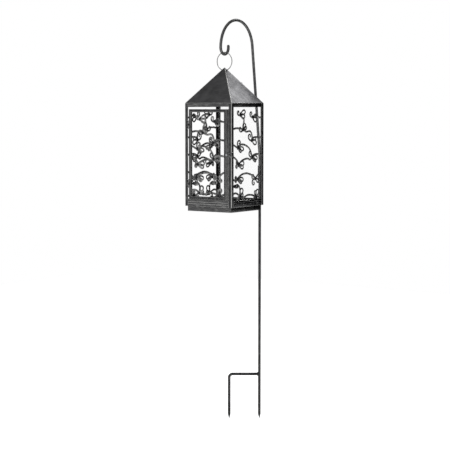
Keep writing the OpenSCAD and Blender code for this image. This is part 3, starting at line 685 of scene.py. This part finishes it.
cell_finish, tree, shader = new_material("laminated_silicon", Roughness=0.12, IOR=1.5,
                                         Coat_Weight=0.6, Coat_Roughness=0.05)
place = add_node(tree, "ShaderNodeTexCoord")
level = add_node(tree, "ShaderNodeMapping", {"Location": tuple(-cell_middle)},
                 {"Vector": place.outputs["Object"]})
laid = add_node(tree, "ShaderNodeMapping", {"Rotation": (slope, 0, 0)},
                {"Vector": level.outputs[0]})
fingers = add_node(tree, "ShaderNodeTexWave",
                   {"Scale": 0.05 / (1.9 * MM), "bands_direction": "Y", "Distortion": 0.0},
                   {"Vector": laid.outputs[0]})
bars = add_node(tree, "ShaderNodeTexWave",
                {"Scale": 0.05 / (5.8 * MM), "bands_direction": "X", "Distortion": 0.0},
                {"Vector": laid.outputs[0]})
finger_mask = ramp(tree, fingers.outputs["Fac"], [(0.93, 0.0), (0.97, 0.55)])
bar_mask = ramp(tree, bars.outputs["Fac"], [(0.97, 0.0), (0.985, 1.0)])
lines = add_node(tree, "ShaderNodeMath", {"operation": "MAXIMUM"},
                 {0: finger_mask.outputs[0], 1: bar_mask.outputs[0]})
crystals = add_node(tree, "ShaderNodeTexVoronoi", {"Scale": 1 / (6 * MM)},
                    {"Vector": place.outputs["Object"]})
silicon = ramp(tree, crystals.outputs["Color"], [(0.2, tone("#0d1226")), (0.8, tone("#1c2950"))])
cell_colour = add_node(tree, "ShaderNodeMix", {"data_type": "RGBA"}, {"Factor": lines.outputs[0]})
tree.links.new(silicon.outputs[0], cell_colour.inputs[6])
cell_colour.inputs[7].default_value = tone("#aeb4bc")
tree.links.new(cell_colour.outputs[2], shader.inputs["Base Color"])
cell = eased_copy("solar_cell", "cell_laminate", 0.2, worn=False)
dress(cell, cell_finish, "solar_cell")


def moulded(name, colour, shade, roughness, grain_mm):
    """Moulded plastic or rubber: one colour, with a fine spark-eroded grain."""
    material, tree, shader = new_material(name, Roughness=roughness)
    place = add_node(tree, "ShaderNodeTexCoord")
    grain = add_node(tree, "ShaderNodeTexNoise", {"Scale": 1 / (grain_mm * MM), "Detail": 3.0},
                     {"Vector": place.outputs["Object"]})
    hue = ramp(tree, grain.outputs["Fac"], [(0.3, tone(colour)), (0.7, tone(shade))])
    tree.links.new(hue.outputs[0], shader.inputs["Base Color"])
    bump = add_node(tree, "ShaderNodeBump", {"Strength": 0.2, "Distance": 0.05 * MM},
                    {"Height": grain.outputs["Fac"]})
    tree.links.new(bump.outputs[0], shader.inputs["Normal"])
    return material


black_abs = moulded("black_abs", "#1b1b1c", "#242425", 0.48, 0.6)
rubber = moulded("black_epdm", "#151515", "#1e1e1e", 0.72, 0.9)
for node, name, edge, finish, slot in (
        ("cell_bezel", "cell_bezel_frame", 0.7, black_abs, "black_plastic"),
        ("battery_holder", "battery_cradle", 0.3, black_abs, "black_plastic"),
        ("switch_body", "switch_case", 0.2, black_abs, "black_plastic"),
        ("switch_slider", "switch_knob", 0.3, black_abs, "black_plastic"),
        ("cell_gasket", "cell_gasket_ring", 0.2, rubber, "black_rubber"),
        ("lead_grommet", "lead_grommet_ring", 0, rubber, "black_rubber"),
        ("solar_lead", "solar_lead_wire", 0, rubber, "black_rubber")):
    dress(eased_copy(node, name, edge, worn=False), finish, node)


# ---------------------------------------------------------------------------------------
# Light module
# A white moulded cup with a screwed base, the LED's clear lens in its middle, and the
# circuit board, cell and switch inside.

white_abs = moulded("white_abs", "#dcdcd8", "#e6e6e2", 0.42, 0.7)
board_finish = moulded("green_solder_resist", "#15512c", "#1b6236", 0.35, 2.0)
sleeve_finish = moulded("green_shrink_sleeve", "#2a6b40", "#317a49", 0.3, 4.0)
led_finish = moulded("tinted_led_epoxy", "#ecd9a4", "#f3e4b8", 0.15, 3.0)
lens_finish, tree, shader = new_material("clear_moulded_lens", Roughness=0.08, IOR=1.49,
                                         Transmission_Weight=1.0)
place = add_node(tree, "ShaderNodeTexCoord")
flow = add_node(tree, "ShaderNodeTexNoise", {"Scale": 1 / (8 * MM)},
                {"Vector": place.outputs["Object"]})
clear = ramp(tree, flow.outputs["Fac"], [(0.3, tone("#f2f2ef")), (0.7, tone("#fbfbfa"))])
tree.links.new(clear.outputs[0], shader.inputs["Base Color"])
for node, name, edge, finish, slot in (
        ("module_housing", "module_cup", 0.5, white_abs, "white_plastic"),
        ("module_base", "module_base_cover", 0.3, white_abs, "white_plastic"),
        ("circuit_board", "module_board", 0.2, board_finish, "green_board"),
        ("battery", "nimh_cell", 0.5, sleeve_finish, "battery_sleeve"),
        ("led", "led_dome", 0, led_finish, "led_epoxy"),
        ("led_lens", "led_lens_cup", 0.3, lens_finish, "clear_lens")):
    dress(eased_copy(node, name, edge, worn=False), finish, node)


# ---------------------------------------------------------------------------------------
# Studio
# A plain pale floor under the prongs' points, a white surround that is darkened at the back
# right, and two soft boxes: one high behind for the right-hand slope, a weaker one overhead.

BACK_RIGHT = (0.575, 0.818, 0.0)
FLOOR_SIDE = 5
lowest = cad_box[0][2]
bpy.ops.mesh.primitive_plane_add(size=FLOOR_SIDE, location=(0, 0, lowest - 0.5 * MM))
floor = bpy.context.object
floor.name = "floor"
floor_finish, tree, shader = new_material("pale_floor", Roughness=0.4,
                                          Emission_Color=(1, 1, 1, 1), Emission_Strength=0.5)
place = add_node(tree, "ShaderNodeTexCoord")
veil = add_node(tree, "ShaderNodeTexNoise", {"Scale": 1.5}, {"Vector": place.outputs["Object"]})
pale = ramp(tree, veil.outputs["Fac"], [(0.0, tone("#f4f4f4")), (1.0, tone("#f8f8f8"))])
tree.links.new(pale.outputs[0], shader.inputs["Base Color"])
floor.data.materials.append(floor_finish)

world = bpy.data.worlds.new("soft_studio")
bpy.context.scene.world = world
world.use_nodes = True
tree = world.node_tree
tree.nodes.clear()
sky = add_node(tree, "ShaderNodeTexCoord")
split = add_node(tree, "ShaderNodeSeparateXYZ", links={0: sky.outputs["Generated"]})
height = ramp(tree, split.outputs["Z"], [(0.0, 1.0), (0.3, 1.0), (0.7, 0.5), (1.0, 0.4)])
beyond = add_node(tree, "ShaderNodeVectorMath", {"operation": "DOT_PRODUCT", 1: BACK_RIGHT},
                  {0: sky.outputs["Generated"]})
beside = ramp(tree, beyond.outputs["Value"], [(0.0, 1.0), (0.5, 1.0), (0.82, 0.05), (1.0, 0.04)])
blend = add_node(tree, "ShaderNodeMath", {"operation": "MULTIPLY"},
                 {0: height.outputs[0], 1: beside.outputs[0]})
around = add_node(tree, "ShaderNodeBackground", {"Strength": 1.0}, {"Color": blend.outputs[0]})
seen = add_node(tree, "ShaderNodeBackground", {"Color": (1, 1, 1, 1), "Strength": 1.0})
path = add_node(tree, "ShaderNodeLightPath")
either = add_node(tree, "ShaderNodeMixShader",
                  links={0: path.outputs["Is Camera Ray"], 1: around.outputs[0],
                         2: seen.outputs[0]})
add_node(tree, "ShaderNodeOutputWorld", links={"Surface": either.outputs[0]})


def soft_box(name, place, aim, width, height, watts):
    """A rectangular area light at a place, turned to face its aim."""
    light = bpy.data.lights.new(name, "AREA")
    light.shape = "RECTANGLE"
    light.size = width
    light.size_y = height
    light.energy = watts
    lamp = bpy.data.objects.new(name, light)
    bpy.context.collection.objects.link(lamp)
    lamp.location = place
    lamp.rotation_euler = (Vector(aim) - Vector(place)).to_track_quat("-Z", "Y").to_euler()
    return lamp


roof_lo, roof_hi = (Vector(corner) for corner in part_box("roof_shell"))
roof_middle = (roof_lo + roof_hi) / 2
soft_box("back_box", roof_middle + Vector((0.35, 1.9, 1.35)), roof_middle, 1.1, 0.8, 31)
soft_box("overhead_box", roof_middle + Vector((0.3, -0.6, 2.6)), roof_middle, 2.6, 2.6, 10)


# ---------------------------------------------------------------------------------------
# Camera
# Level with the eaves, turned off the door's face towards the right-hand side, far enough
# back that the uprights stay straight, and tipped down a little to take in the stake.

VIEW_AZIMUTH = 35.1
VIEW_DISTANCE = 3.62
LENS = 116.0
AIM_Z = 0.4055
ASIDE = 1.2 * MM
azimuth = math.radians(VIEW_AZIMUTH)
camera = bpy.data.cameras.new("camera")
camera.lens = LENS
camera.sensor_width = 36
view = bpy.data.objects.new("camera", camera)
bpy.context.collection.objects.link(view)
away = Vector((math.sin(azimuth), -math.cos(azimuth), 0))
shift = ASIDE * Vector((math.cos(azimuth), math.sin(azimuth), 0))
aim = Vector((roof_middle.x, roof_middle.y, AIM_Z)) + shift
eye = Vector((roof_middle.x, roof_middle.y, roof_lo.z)) + VIEW_DISTANCE * away + shift
view.location = eye
view.rotation_euler = (aim - eye).to_track_quat("-Z", "Y").to_euler()
bpy.context.scene.camera = view
bpy.context.scene.view_settings.view_transform = "Standard"
